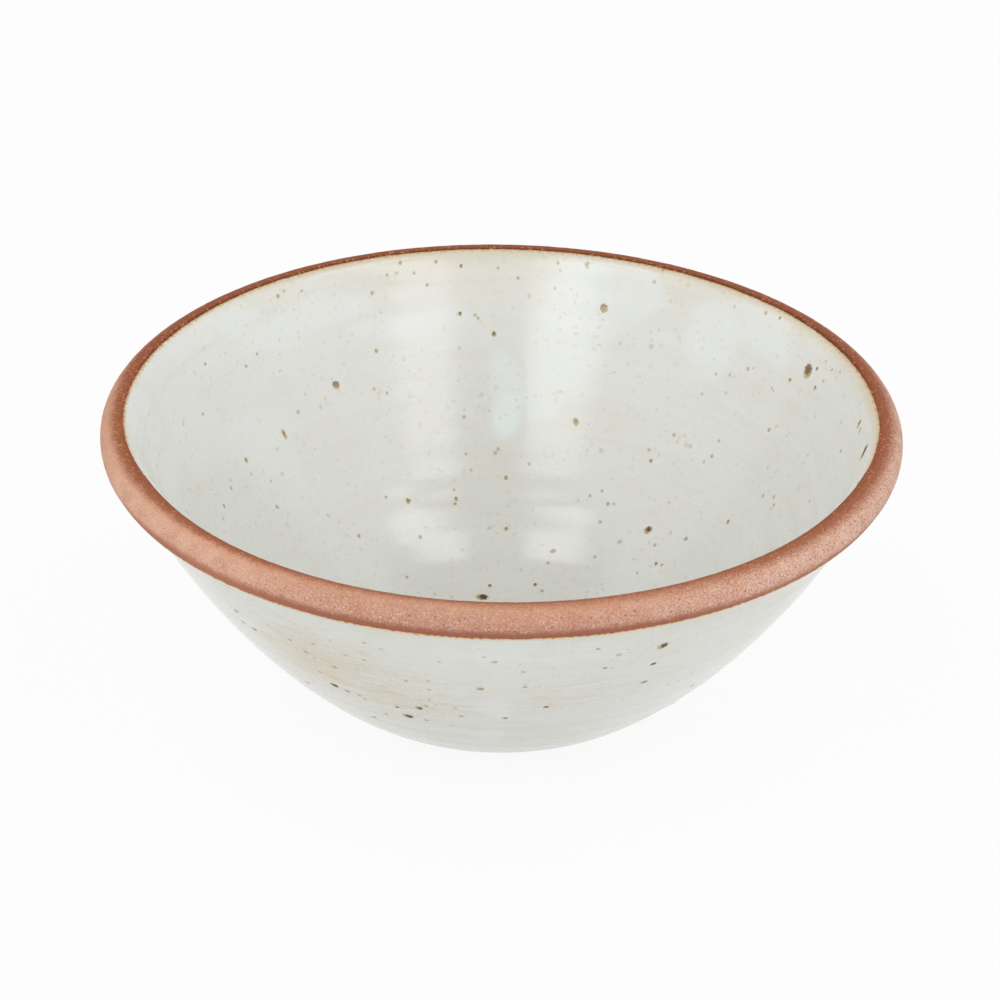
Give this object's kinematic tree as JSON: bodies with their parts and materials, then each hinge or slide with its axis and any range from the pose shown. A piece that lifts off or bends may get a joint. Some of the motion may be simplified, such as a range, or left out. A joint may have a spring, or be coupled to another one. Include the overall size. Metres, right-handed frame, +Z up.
{
  "type": "prep bowl",
  "caption": "Round stoneware prep bowl with flared walls, a rolled rim of bare reddish clay, pale speckled glaze inside and outside, and a low turned foot ring.",
  "frame": {"origin": "centre of the foot ring, on the plane that the bowl stands on", "axes": "+Z up along the bowl's axis, out of its mouth; the bowl is round about +Z, so X and Y are any two level directions"},
  "size_m": [0.2, 0.2, 0.079],
  "materials": {
    "bare_clay": "matt fired stoneware clay, toasted darker along the glaze lines",
    "inner_glaze": "semi-gloss pale grey-white glaze with iron specks, cream where it thins",
    "outer_glaze": "semi-gloss pale grey-white glaze with iron specks, tan over the throwing ridges"
  },
  "bodies": {
    "root": {"clay_body": "bare_clay", "inner_glaze": "inner_glaze", "outer_glaze": "outer_glaze"}
  },
  "joints": []
}
